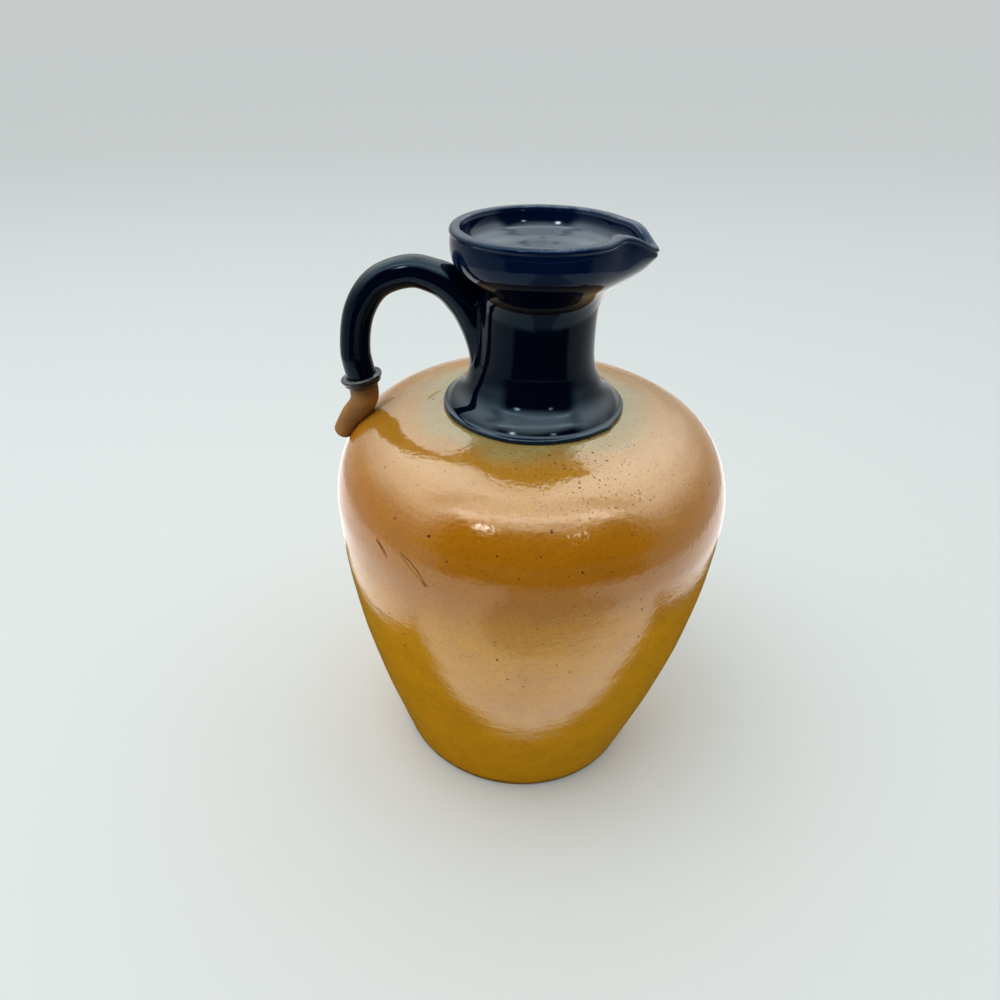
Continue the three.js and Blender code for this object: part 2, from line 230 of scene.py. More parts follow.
def body_outline():
    """Radius and height from the underside to the hollow's floor, and how many points are on the outside."""
    edge = side(FOOT_ROUND) - FOOT_ROUND
    under = np.stack([np.linspace(2, edge - 0.4, 16), np.zeros(16)], -1)
    z = np.linspace(FOOT_ROUND, BELLY_HEIGHT, 92)[1:]
    outside = [under, arc((edge, FOOT_ROUND), FOOT_ROUND, -90, 0, 6), np.stack([side(z), z], -1)]
    outside.append(shoulder_line(BELLY_RADIUS, SHOULDER_RISE, UNDER_FLANGE, 72)[1:])
    inner_end = neck_inside(SEAT - BODY_WALL)
    top = FLOOR + FLOOR_ROUND
    z = np.linspace(top, BELLY_HEIGHT, 22)[1:]
    inside = [np.array([[2, FLOOR], [20, FLOOR]])]
    inside.append(arc((side(top) - BODY_WALL - FLOOR_ROUND, top), FLOOR_ROUND, -90, 0, 7))
    inside.append(np.stack([side(z) - BODY_WALL, z], -1))
    inside.append(shoulder_line(BELLY_RADIUS - BODY_WALL, SHOULDER_RISE - BODY_WALL, inner_end, 24)[1:])
    outer, inner = np.vstack(outside), np.vstack(inside)[::-1]
    return np.vstack([outer, inner]), len(outer)


def wheel_marks(z, angle):
    """Slow waves up the wall, each turning a little with the angle, and a faint oval round the middle."""
    rings = 0
    for size, pitch, lag in WHEEL_WAVES:
        rings = rings + size * np.sin(2 * np.pi * z / pitch + lag + 0.5 * np.sin(angle + lag))
    oval = (OVAL * np.cos(2 * angle + 0.8) - THINNED) * bump(z, 80, 60)
    return rings + oval


def build_body():
    """Carry the outline round the axis, with the wheel's marks on the outside only."""
    line, outer_count = body_outline()
    angle = np.linspace(0, 2 * np.pi, BODY_COLUMNS, endpoint=False)
    radius = np.repeat(line[:, :1], BODY_COLUMNS, 1)
    height = np.repeat(line[:, 1:], BODY_COLUMNS, 1)
    on_outside = (np.arange(len(line)) < outer_count)[:, None]
    strength = blend_up(height, 1, 14) * blend_up(radius, 27, 36) * on_outside
    radius = radius + strength * wheel_marks(height, angle[None, :])
    ripple = np.sin(2 * np.pi * radius / RIPPLE_PITCH + 0.6 * np.sin(angle + 1)) * blend_up(height, 104, 112)
    height = height + RIPPLE_DEEP * strength * ripple
    points = np.stack([radius * np.cos(angle), radius * np.sin(angle), height], -1)
    return surface("ochre_body", points, start=(0, 0, 0), end=(0, 0, FLOOR))


body = build_body()

# %% [markdown]
# The pouring lip was made with two fingers and a thumb while the rim was wet: the rim is pushed out into two
# straight flanks that meet at a point, pinched in on the near side and dipped at the tip. So the neck is
# thrown round first, and each point near the rim is then carried to where that pull leaves it.

# %% Pulling the lip
LIP_ANGLE = math.radians(-16)
LIP_REACH, TIP_WALL, TIP_DROP, TIP_SOFT = 6.8, 2.6, 3.6, 0.05
LIP_START, LIP_FULL, LIP_LIFT = 21.5, 2.5, 8.5
PINCH_ANGLE, PINCH_SPREAD, TIP_SPREAD = math.radians(23), math.radians(9), math.radians(11)
PINCH_NEAR, PINCH_OUTSIDE, PINCH_FAR, PINCH_RISE, PINCH_FADE = 0.09, 0.045, -0.018, 0.75, 9.0


def beak(turn, radius, tip):
    """How much longer the radius is near the lip: one over the cosine of the angle left to the flank."""
    flank = np.arccos(radius / tip)
    angle = np.hypot(turn, TIP_SOFT)
    return np.where(angle < flank, 1 / np.cos(np.maximum(flank - angle, 0)), 1.0)


def pull_lip(radius, height, angle, outwards):
    """Radius and height after pulling; outwards is 1 on the rim's outer side and 0 on its inner side."""
    turn = (angle - LIP_ANGLE + np.pi) % (2 * np.pi) - np.pi
    share = blend_up(height, RIM_TOP - LIP_START, RIM_TOP - LIP_FULL)
    lift = blend_up(height, RIM_TOP - LIP_LIFT, RIM_TOP)
    near, far = bump(turn, -PINCH_ANGLE, PINCH_SPREAD), bump(turn, PINCH_ANGLE, PINCH_SPREAD)
    outer = beak(turn, RIM_RADIUS, RIM_RADIUS + LIP_REACH)
    inner = beak(turn, RIM_RADIUS - RIM_WALL, RIM_RADIUS + LIP_REACH - TIP_WALL)
    deep = PINCH_NEAR + (PINCH_OUTSIDE - PINCH_NEAR) * outwards
    pinch = 1 - blend_up(height, RIM_TOP - PINCH_FADE, RIM_TOP - 1) * (deep * near + PINCH_FAR * far)
    stretch = (inner + (outer - inner) * outwards) * pinch
    rise = PINCH_RISE * near - TIP_DROP * bump(turn, 0, TIP_SPREAD)
    return radius * (1 + share * (stretch - 1)), height + lift * rise


# %% [markdown]
# The handle is a round coil of clay bent in one upright plane. It rises from the collar, turns over its
# crest, comes down to the neck under the rim, and is smeared down along the neck in a tail that thins to
# nothing at the flange. So one section is carried along one line from collar to tail, and only its size
# changes. A smooth line through points is a chain of cubic pieces whose slopes come from the neighbouring
# points.

# %% The handle's line
HANDLE_ANGLE = math.radians(175)
ROD_RADIUS, LEG_INSET, LEG_RISE, COLLAR_RISE, COLLAR_INSET = 4.45, 8.2, 8.9, 12.1, 1.2
LEG = BELLY_RADIUS - LEG_INSET
COLLAR = np.array([LEG - COLLAR_INSET, float(shoulder(LEG - COLLAR_INSET)) + COLLAR_RISE])
CREST = np.array([35.0, RIM_TOP - 12.7])
BEND_TURNS, BEND_POWER = (59, 31), 0.95
HANDLE_ROWS, HANDLE_SIDES = 260, 72
# Distance from the axis, drop below the rim, half thickness in the handle's plane and half width across it.
ROOT_AND_TAIL = [
    (29.6, 13.6, 4.6, 4.7), (24.2, 16.0, 5.0, 5.4), (20.3, 20.4, 4.9, 5.7), (18.3, 26.4, 3.7, 5.4),
    (17.3, 33.5, 2.2, 4.2), (17.0, 39.5, 1.2, 2.6), (17.2, 43.5, 0.6, 1.0),
]


def smooth_line(stops, count):
    """Evenly spaced points on a cubic chain through the stops, slopes weighted by the root of each gap."""
    stops = np.asarray(stops, float)
    path = np.vstack([2 * stops[0] - stops[1], stops, 2 * stops[-1] - stops[-2]])
    gaps = np.linalg.norm(np.diff(path, axis=0), axis=1) ** 0.5
    fine = []
    for k in range(1, len(path) - 2):
        before, gap, after = gaps[k - 1], gaps[k], gaps[k + 1]
        chord = (path[k + 1] - path[k]) / gap
        start = (path[k] - path[k - 1]) / before - (path[k + 1] - path[k - 1]) / (before + gap) + chord
        end = chord - (path[k + 2] - path[k]) / (gap + after) + (path[k + 2] - path[k + 1]) / after
        t = np.linspace(0, 1, 60, endpoint=False)[:, None]
        curve = (2 * t**3 - 3 * t**2 + 1) * path[k] + (3 * t**2 - 2 * t**3) * path[k + 1]
        fine.append(curve + (t**3 - 2 * t**2 + t) * start * gap + (t**3 - t**2) * end * gap)
    fine = np.vstack(fine + [stops[-1:]])
    length = np.concatenate([[0], np.cumsum(np.linalg.norm(np.diff(fine, axis=0), axis=1))])
    even = np.linspace(0, length[-1], count)
    return np.stack([np.interp(even, length, fine[:, k]) for k in range(stops.shape[1])], -1), length[-1]


def handle_stops():
    """Place and size of the handle at its turning points, from the collar to the tail's end."""
    leg = np.array([LEG, COLLAR[1] + LEG_RISE])
    round_rod = [ROD_RADIUS, ROD_RADIUS]
    stops = [[*COLLAR, *round_rod], [*leg, *round_rod]]
    for turn in np.radians(BEND_TURNS):
        out = CREST[0] + (leg[0] - CREST[0]) * np.sin(turn) ** BEND_POWER
        up = leg[1] + (CREST[1] - leg[1]) * np.cos(turn) ** BEND_POWER
        stops.append([out, up, *round_rod])
    stops.append([*CREST, *round_rod])
    stops += [[out, RIM_TOP - drop, thick, wide] for out, drop, thick, wide in ROOT_AND_TAIL]
    return np.array(stops)


HANDLE, HANDLE_LENGTH = smooth_line(handle_stops(), HANDLE_ROWS)
print("handle line", round(HANDLE_LENGTH, 1), "mm long")

# %% [markdown]
# Where wet clay was smeared onto the neck there is no corner, only a soft hollow. Two solids melt together
# like that when their distances are combined by a smooth minimum: the smaller of the two, less a little
# where they are nearly equal. Distance from the handle is measured to a string of beads along its line, and
# distance from the neck is how far the radius is beyond the outline. Both skins are then carried out to where
# the combined distance is nought, found by halving for all points at once. Past the middle of the hollow each
# skin dives a little under the other, so that only one of them is ever seen.

# %% Melting the handle onto the neck
MELT = 3.4
DIVE, DIVE_START, DIVE_FULL = 0.4, 0.1, 1.0
BEADS_WITHIN = 33


def melted_share(z):
    """1 along the tail and 0 close under the rim, where the joint stayed a sharp crease."""
    return 1 - blend_up(z, RIM_TOP - 22.5, RIM_TOP - 17)


def smooth_less(first, second, reach=MELT):
    """The smaller of two distances, less a quarter of the reach times the square of their nearness."""
    near = np.maximum(reach - np.abs(first - second), 0) / reach
    return np.minimum(first, second) - near**2 * reach / 4


def handle_distance(along, across, z):
    """Distance from the nearest of the beads near the neck, eggs as thick and wide as the handle there."""
    slope = np.gradient(HANDLE[:, :2], axis=0)
    slope /= np.linalg.norm(slope, axis=1)[:, None]
    beads = np.hstack([HANDLE, slope])
    beads = beads[(HANDLE[:, 0] < BEADS_WITHIN) & (np.arange(len(HANDLE)) % 2 == 0)]
    best = np.full(np.broadcast(along, across, z).shape, 1e9)
    for out, up, thick, wide, slope_out, slope_up in beads:
        ahead = (along - out) * slope_out + (z - up) * slope_up
        beside = (along - out) * slope_up - (z - up) * slope_out
        egg = np.sqrt((ahead**2 + beside**2) / thick**2 + (across / wide) ** 2)
        best = np.minimum(best, (egg - 1) * min(thick, wide))
    return best


def melted_radius(z, angle):
    """Radius of neck and handle together near the handle's root, no more than a little outside the neck."""
    turn = angle - HANDLE_ANGLE
    plain = neck_outside(z)
    low, high = plain - 1.0, plain + 3.2
    for _ in range(20):
        middle = (low + high) / 2
        handle = handle_distance(middle * np.cos(turn), middle * np.sin(turn), z)
        inside = smooth_less(middle - plain, handle) < 0
        low, high = np.where(inside, middle, low), np.where(inside, high, middle)
    handle = handle_distance(low * np.cos(turn), low * np.sin(turn), z)
    melted = low - plain - DIVE * blend_up(low - plain - handle, DIVE_START, DIVE_FULL)
    return plain + melted * melted_share(z)


# %% The neck
NECK_COLUMNS = 360
ROOT_REACH = math.radians(75)
# Depth, number round the flange and lag of the uneven waves in its edge, and the place of one larger run.
EDGE_WAVES = ((0.12, 3, 0.7), (0.08, 7, 2.1))
RUN_DEEP, RUN_ANGLE, RUN_SPREAD = 0.5, math.radians(318), 0.09


def neck_outline():
    """Radius, height and outward share of the neck's outline, round the flange, up, over the rim and down."""
    edge = FLANGE_THICK / 2
    flange = arc((FLANGE_RADIUS - edge, SEAT + edge), edge, -90, 80, 11)
    skirt = np.linspace(SEAT + FLANGE_THICK, SEAT + 14, 40)[1:]
    waist = np.linspace(SEAT + 14, RIM_TOP - 20, 26)[1:]
    up = np.concatenate([skirt, waist, np.linspace(RIM_TOP - 20, RIM_TOP - RIM_ROUND, 54)[1:-1]])
    outer = arc((RIM_RADIUS - RIM_ROUND, RIM_TOP - RIM_ROUND), RIM_ROUND, 0, 90, 9)
    lip = RIM_RADIUS - RIM_WALL
    inner = arc((lip + 0.9, RIM_TOP - 0.9), 0.9, 90, 180, 8)
    down = np.linspace(RIM_TOP - 0.9, RIM_TOP - 22, 72)[1:]
    down = np.concatenate([down, np.linspace(RIM_TOP - 22, SEAT - BODY_WALL, 30)[1:]])
    parts = [np.array([[UNDER_FLANGE, SEAT - 0.1]]), flange, np.stack([neck_outside(up), up], -1), outer]
    parts += [np.array([[lip + 1.2, RIM_TOP]]), inner, np.stack([neck_inside(down), down], -1)]
    line = np.vstack(parts)
    climb = slice(1 + len(flange), 1 + len(flange) + len(up))
    outwards = np.clip((line[:, 0] - lip) / RIM_WALL, 0, 1)
    turned = 1 + len(flange) + len(up) + len(outer)
    outwards[:turned - 5] = 1
    outwards[turned + 6:] = 0
    return line, outwards, climb


def build_neck():
    """Carry the neck's outline round the axis, melt in the handle's root, then pull the lip."""
    line, outwards, climb = neck_outline()
    angle = np.linspace(0, 2 * np.pi, NECK_COLUMNS, endpoint=False)[None, :]
    radius = np.repeat(line[:, :1], NECK_COLUMNS, 1)
    height = np.repeat(line[:, 1:], NECK_COLUMNS, 1)
    uneven = RUN_DEEP * bump(angle, RUN_ANGLE, RUN_SPREAD)
    for deep, count, lag in EDGE_WAVES:
        uneven = uneven + deep * np.sin(count * angle + lag)
    radius = radius + uneven * bump(height, SEAT + 0.6, 1.4) * blend_up(radius, 22, 25)
    beside = np.abs(angle[0] - HANDLE_ANGLE) < ROOT_REACH
    patch = np.ix_(np.arange(climb.start, climb.stop), np.flatnonzero(beside))
    around = np.broadcast_to(angle, radius.shape)[patch]
    radius[patch] += melted_radius(height[patch], around) - neck_outside(height[patch])
    radius, height = pull_lip(radius, height, angle, outwards[:, None])
    points = np.stack([radius * np.cos(angle), radius * np.sin(angle), height], -1)
    piece = surface("cobalt_neck", points, closed=True)
    for label, column in (("thrown_radius", 0), ("thrown_height", 1)):
        values = np.repeat(line[:, column], NECK_COLUMNS)
        piece.data.attributes.new(label, "FLOAT", "POINT").data.foreach_set("value", values)
    return piece


neck = build_neck()

# %% [markdown]
# The rod of the handle is a round section carried along its line. At each step two directions are needed:
# one across the handle's plane, which never changes, and one square to both it and the line. The same helper
# makes the bare foot later, with a flatter section.

# %% A section carried along a line


def to_world(along, across, height):
    """Turn points from the handle's upright plane to the jug's frame."""
    cos, sin = math.cos(HANDLE_ANGLE), math.sin(HANDLE_ANGLE)
    return np.stack([along * cos - across * sin, along * sin + across * cos, height], -1)


def plane_point(point):
    """One point of the handle's plane in the jug's frame."""
    return to_world(np.array(point[0]), np.array(0.0), np.array(point[1]))


def carried(line, thick, wide, sides):
    """Places and outward directions round a line in the handle's plane, thick in it and wide across it."""
    slope = np.gradient(line, axis=0)
    slope /= np.linalg.norm(slope, axis=1)[:, None]
    turn = np.linspace(0, 2 * np.pi, sides, endpoint=False)[None, :]
    beside = np.stack([slope[:, 1], -slope[:, 0]], -1)[:, None, :]
    thick, wide = np.asarray(thick)[:, None], np.asarray(wide)[:, None]
    place = np.stack([line[:, :1] + beside[..., 0] * np.cos(turn) * thick, np.sin(turn) * wide,
                      line[:, 1:] + beside[..., 1] * np.cos(turn) * thick], -1)
    away = np.stack([beside[..., 0] * np.cos(turn) / thick, np.sin(turn) / wide + 0 * thick,
                     beside[..., 1] * np.cos(turn) / thick], -1)
    return place, away / np.linalg.norm(away, axis=-1, keepdims=True)


# %% The handle


def melt_outwards(place, away):
    """Carry the handle's skin outwards to where it and the neck melt together."""
    low, high = np.zeros(place.shape[:2]), np.full(place.shape[:2], 2.0)

    def over_neck(step):
        point = place + away * step[..., None]
        return np.hypot(point[..., 0], point[..., 1]) - neck_outside(point[..., 2])

    for _ in range(18):
        middle = (low + high) / 2
        inside = smooth_less(over_neck(middle), middle) < 0
        low, high = np.where(inside, middle, low), np.where(inside, high, middle)
    step = low - DIVE * blend_up(low - over_neck(low), DIVE_START, DIVE_FULL)
    step = step * melted_share(place[..., 2]) * blend_up(-place[..., 0], -33, -29)
    return place + away * step[..., None]


def build_handle():
    """The rod, very slightly uneven along its length as rolled clay is, with its root and tail melted on."""
    share = np.linspace(0, 1, len(HANDLE))
    uneven = 1 + 0.008 * np.sin(9 * share + 1) + 0.006 * np.sin(29 * share)
    thick, wide = HANDLE[:, 2] * uneven, HANDLE[:, 3] * uneven
    place, away = carried(HANDLE[:, :2], thick, wide, HANDLE_SIDES)
    place = melt_outwards(place, away)
    points = to_world(place[..., 0], place[..., 1], place[..., 2])
    return surface("cobalt_handle", points, start=plane_point(HANDLE[0]), end=plane_point(HANDLE[-1]))


handle = build_handle()

# %% [markdown]
# The glazed part of the handle ends in a small flared collar, like the bell of a trumpet: hollowed on top
# round the leg, with a thin rolled edge, and brown clay under it. It is turned round the leg's own line,
# which leans a little.

# %% The collar
COLLAR_TILT = math.radians(11)
COLLAR_ROWS, COLLAR_SIDES = 60, 96
# Distance from the leg's line and height along it, from the top down.
COLLAR_OUTLINE = [
    (3.6, 2.9), (4.3, 2.2), (4.5, 1.4), (4.85, 0.95), (5.25, 0.95), (5.65, 1.3), (6.0, 1.35),
    (6.22, 1.0), (6.15, 0.55), (5.8, 0.2), (5.6, -0.1), (5.62, -0.5), (5.35, -0.95), (4.9, -1.25),
    (4.5, -1.8), (3.5, -2.3),
]


def build_collar():
    """Turn the collar's outline round the leg, which leans in the handle's plane."""
    line, _ = smooth_line(COLLAR_OUTLINE[::-1], COLLAR_ROWS)
    turn = np.linspace(0, 2 * np.pi, COLLAR_SIDES, endpoint=False)[None, :]
    ring = 1 + 0.012 * np.sin(2 * turn + 0.5) + 0.008 * np.sin(5 * turn)
    radius = line[:, :1] * np.where(line[:, :1] > 4.6, ring, 1)
    height = np.repeat(line[:, 1:], COLLAR_SIDES, 1)
    flat = radius * np.cos(turn)
    across = radius * np.sin(turn)
    along = COLLAR[0] + flat * math.cos(COLLAR_TILT) + height * math.sin(COLLAR_TILT)
    up = COLLAR[1] - flat * math.sin(COLLAR_TILT) + height * math.cos(COLLAR_TILT)
    return surface("handle_collar", to_world(along, across, up), closed=True)


collar = build_collar()

# %% [markdown]
# Below the collar the coil was left bare, bent over and pressed down along the shoulder, and its end cut
# blunt. Fingers drew fine lines along it. The section goes from round at the collar to flatter at the toe,
# and the lines are tiny waves round the section.

# %% The bare foot
STUB_DROP, HEEL_INSET, HEEL_LIFT, TOE_REACH, TOE_LIFT = 5.4, 2.2, 3.4, 4.5, 2.3
FOOT_THICK = [4.4, 4.3, 3.7, 3.1, 2.9]
FOOT_WIDE = [4.3, 4.4, 4.5, 4.6, 4.4]
FOOT_ROWS, FOOT_SIDES = 110, 96
TIP_SHARE = 0.04
# Depth, number round the section, lag and drift along the foot of the finger lines.
FINGER_LINES = ((0.05, 23, 0, 3), (0.035, 37, 1, 0))


def lifted(radius, lift):
    """A point off the shoulder, at a distance along the shoulder's normal."""
    fall = float(shoulder(radius - 0.05) - shoulder(radius + 0.05))
    normal = np.array([fall, 0.1]) / math.hypot(fall, 0.1)
    return np.array([radius, float(shoulder(radius))]) + lift * normal


def build_foot():
    """Carry the foot's section from inside the collar over the heel to the toe."""
    heel, toe = LEG - HEEL_INSET, LEG + TOE_REACH
    stops = [COLLAR, COLLAR - [COLLAR_INSET / 4, STUB_DROP], lifted(heel, HEEL_LIFT)]
    stops += [lifted((heel + toe) / 2, (HEEL_LIFT + TOE_LIFT) / 2), lifted(toe, TOE_LIFT)]
    line, _ = smooth_line(stops, FOOT_ROWS)
    share = np.linspace(0, 1, len(line))
    tip = np.sqrt(np.maximum(1 - (np.maximum(share - 1 + TIP_SHARE, 0) / TIP_SHARE) ** 2, 0.1))
    thick = np.interp(share, np.linspace(0, 1, len(FOOT_THICK)), FOOT_THICK) * tip
    wide = np.interp(share, np.linspace(0, 1, len(FOOT_WIDE)), FOOT_WIDE) * tip
    turn = np.linspace(0, 2 * np.pi, FOOT_SIDES, endpoint=False)[None, :]
    place, away = carried(line, thick, wide, FOOT_SIDES)
    drawn = 0
    for deep, count, lag, drift in FINGER_LINES:
        drawn = drawn + deep * np.sin(count * turn + lag + drift * share[:, None])
    place = place + away * (drawn * blend_up(share, 0.3, 0.6)[:, None])[..., None]
    points = to_world(place[..., 0], place[..., 1], place[..., 2])
    return surface("clay_foot", points, start=plane_point(line[0]), end=plane_point(line[-1]))


foot = build_foot()

# %% [markdown]
# A glaze is glass over clay, so each finish is a network of shader nodes. Node by node that is long to write,
# so a small class wraps one socket and lets plain arithmetic add the Math nodes, and one method makes any
# other node from its type, its settings and its inputs.

# %% Shader maths as Python
DEGREES = 180 / math.pi


class Value:
    """One output socket of a node in a network; arithmetic on it adds Math nodes."""

    def __init__(self, net, socket):
        self.net, self.socket = net, socket

    def out(self, name):
        """Another output of the same node."""
        return Value(self.net, self.socket.node.outputs[name])

    def __add__(self, other):
        return self.net.math("ADD", self, other)

    def __sub__(self, other):
        return self.net.math("SUBTRACT", self, other)

    def __mul__(self, other):
        return self.net.math("MULTIPLY", self, other)

    def __truediv__(self, other):
        return self.net.math("DIVIDE", self, other)

    def __rsub__(self, other):
        return self.net.math("SUBTRACT", other, self)

    def __neg__(self):
        return self.net.math("MULTIPLY", self, -1)

    __radd__ = __add__
    __rmul__ = __mul__


class Network:
    """The node tree of a material or of the world."""

    def __init__(self, owner):
        owner.use_nodes = True
        self.tree = owner.node_tree
        self.tree.nodes.clear()

    def plug(self, socket, value):
        """Link a value to a socket, or set the socket to a number or a colour."""
        if isinstance(value, Value):
            self.tree.links.new(value.socket, socket)
        elif isinstance(value, tuple) and len(value) == 3 and socket.type == "RGBA":
            socket.default_value = (*value, 1)
        else:
            socket.default_value = value

    def node(self, kind, settings=None, inputs=None, out=0):
        """Any node: its settings first, then its inputs, by name or number."""
        made = self.tree.nodes.new("ShaderNode" + kind)
        for key, value in (settings or {}).items():
            setattr(made, key, value)
        for key, value in (inputs or {}).items():
            self.plug(made.inputs[key], value)
        return Value(self, made.outputs[out]) if made.outputs else None

    def math(self, operation, *values):
        return self.node("Math", {"operation": operation}, dict(enumerate(values)))

    def rise(self, value, low, high):
        """0 below low and 1 above high, smooth between; low above high turns it round."""
        start, end = (0, 1) if low < high else (1, 0)
        inputs = {0: value, 1: min(low, high), 2: max(low, high), 3: start, 4: end}
        return self.node("MapRange", {"interpolation_type": "SMOOTHSTEP"}, inputs)

    def bell(self, value, middle, spread):
        """A bell of height 1 round one value."""
        away = (value - middle) / spread
        return self.math("EXPONENT", -(away * away))

    def mix(self, share, first, second):
        """A colour between two, by a share."""
        return self.node("Mix", {"data_type": "RGBA"}, {0: share, 6: first, 7: second}, 2)

    def noise(self, place, size, detail=2.0, roughness=0.5):
        """Smooth noise from 0 to 1 whose spots are about size across."""
        inputs = {"Vector": place, "Scale": 1 / size, "Detail": detail, "Roughness": roughness}
        return self.node("TexNoise", {}, inputs)

    def cells(self, place, size):
        """Distance to the nearest of scattered points that are about size apart."""
        return self.node("TexVoronoi", {}, {"Vector": place, "Scale": 1 / size}, "Distance")

    def bearing(self, rise, run):
        """Angle in degrees whose tangent is rise over run."""
        return self.math("ARCTAN2", rise, run) * DEGREES

    def length(self, first, second):
        """Root of the sum of two squares."""
        return self.math("SQRT", first * first + second * second)

    def scaled(self, vector, factor):
        """A vector times a number."""
        return self.node("VectorMath", {"operation": "SCALE"}, {0: vector, "Scale": factor})

    def place(self):
        """The point on the piece in millimetres, whole and as x, y and z."""
        whole = self.scaled(self.node("TexCoord", {}, {}, "Object"), 1 / MM)
        split = self.node("SeparateXYZ", {}, {0: whole})
        return whole, split, split.out("Y"), split.out("Z")

    def relief(self, height):
        """Normal of a surface whose fine relief is given in millimetres."""
        return self.node("Bump", {}, {"Strength": 1.0, "Distance": MM, "Height": height})

    def shade(self, inputs):
        """The Principled shader with these inputs, as the finish of the whole surface."""
        self.node("OutputMaterial", {}, {0: self.node("BsdfPrincipled", {}, inputs)})


def finish(name):
    """A new material and its empty network."""
    material = bpy.data.materials.new(name)
    return material, Network(material)


# %% [markdown]
# The body's glaze is salt glaze over an ochre wash: amber where it lies thick, more golden low on the wall,
# paler and greener round the flange where the blue glaze bled into it, and darker brown along the bottom
# edge.
# Iron in the clay bursts through as dark specks, thickest at the front beside the flange. Salt leaves a fine
# orange peel, which is what makes the reflections soft and slightly broken.

# %% The amber salt glaze
AMBER, GOLD, PALE = (0.45, 0.16, 0.002), (0.68, 0.295, 0.001), (0.43, 0.2, 0.02)
HALO, BOTTOM_BROWN, SPECK = (0.31, 0.265, 0.10), (0.085, 0.035, 0.002), (0.014, 0.007, 0.003)
CLOUDS, BLOTCHES, GRAINS = (0.30, 0.095, 0.004), (0.27, 0.085, 0.004), (0.22, 0.075, 0.003)
BARE, BARE_DARK = (0.30, 0.19, 0.10), (0.2, 0.115, 0.055)
GLASS_TINT = (1.0, 0.93, 0.8)
FRONT, FRONT_SPREAD = -68, 34
WALL_RADIUS = 58
# Spacing, size across, share of the cells that hold one, strength, and whether they keep to the front.
SPECKS = [
    (1.7, 0.75, 0.46, 1.0, True), (4.3, 1.0, 0.4, 1.0, False),
    (0.95, 0.5, 0.72, 1.0, True), (1.8, 0.5, 0.34, 0.8, False),
]
# On the wall, in millimetres round it and up it: start, end, bow, thickness and strength. The last number is
# the noise below which a scratch is broken, or None where it is whole.
WALL_SCRATCHES = [
    ((-49.2, 106.9), (-44.2, 103.6), 0.3, 0.75, 1.0, 0.35),
    ((-40.2, 107.3), (-31.4, 101.0), 1.3, 0.3, 1.0, None),
    ((-40.2, 107.3), (-31.4, 101.0), -0.1, 0.26, 0.8, None),
    ((-32.4, 102.0), (-30.8, 100.4), 0, 0.7, 1.0, None),
    ((-70.0, 77.2), (-46.0, 80.3), -0.4, 0.22, 1.0, 0.4),
]
# By the handle's foot, seen from above: start, end, bow and thickness.
SHOULDER_DARK_STROKES = [((-48.5, 3.2), (-42.0, 8.2), 0, 2.1), ((-31.5, 2.2), (-26.8, 8.6), 0.4, 0.5)]


def specks(net, place, spacing, size, share):
    """Dark dots: one in every spacing, up to size across, kept only in a share of the cells."""
    nearest = net.cells(place, spacing)
    chance = net.node("SeparateColor", {}, {0: nearest.out("Color")})
    reach = (chance.out("Green") * 0.6 + 0.4) * (size / spacing / 2)
    return net.rise(nearest / reach, 1.2, 0.7) * net.rise(chance, share + 0.02, share - 0.02)


def stroke(net, across, up, start, end, bend, thick):
    """A bent scratch between two points, bowed to its left by bend and tapering to both ends."""
    run, rise = end[0] - start[0], end[1] - start[1]
    size = math.hypot(run, rise)
    run, rise = run / size, rise / size
    a, b = across - (start[0] + end[0]) / 2, up - (start[1] + end[1]) / 2
    u = (a * run + b * rise) / (size / 2)
    full = net.math("MAXIMUM", 1 - u * u, 0)
    off = net.math("ABSOLUTE", b * run - a * rise - full * bend)
    return net.rise(off / (net.math("SQRT", full) * thick + 0.001), 1.2, 0.6) * net.rise(full, 0, 0.05)


def all_specks(net, place, fine, angle, z):
    """Every size of speck, with the front's kept beside the flange."""
    jittered = net.node("VectorMath", {"operation": "ADD"}, {0: place, 1: net.scaled(fine.out("Color"), 0.9)})
    front = net.bell(angle, FRONT, FRONT_SPREAD) * net.rise(z, 116, 124)
    dots = 0
    for spacing, size, share, strength, at_front in SPECKS:
        kept = front * strength if at_front else strength
        dots = specks(net, jittered, spacing, size, share) * kept + dots
    return net.math("MINIMUM", dots, 1)


def all_scratches(net, fine, angle, x, y, z):
    """The scratches on the wall and the dark strokes by the handle's foot."""
    across = (angle + 90) * (WALL_RADIUS / DEGREES)
    marks = 0
    for start, end, bow, thick, strength, broken in WALL_SCRATCHES:
        mark = stroke(net, across, z, start, end, bow, thick) * strength
        marks = (mark if broken is None else mark * net.rise(fine, broken, 0.5)) + marks
    for start, end, bow, thick in SHOULDER_DARK_STROKES:
        marks = stroke(net, x, y, start, end, bow, thick) * net.rise(z, 110, 112) + marks
    return net.math("MINIMUM", marks, 1)


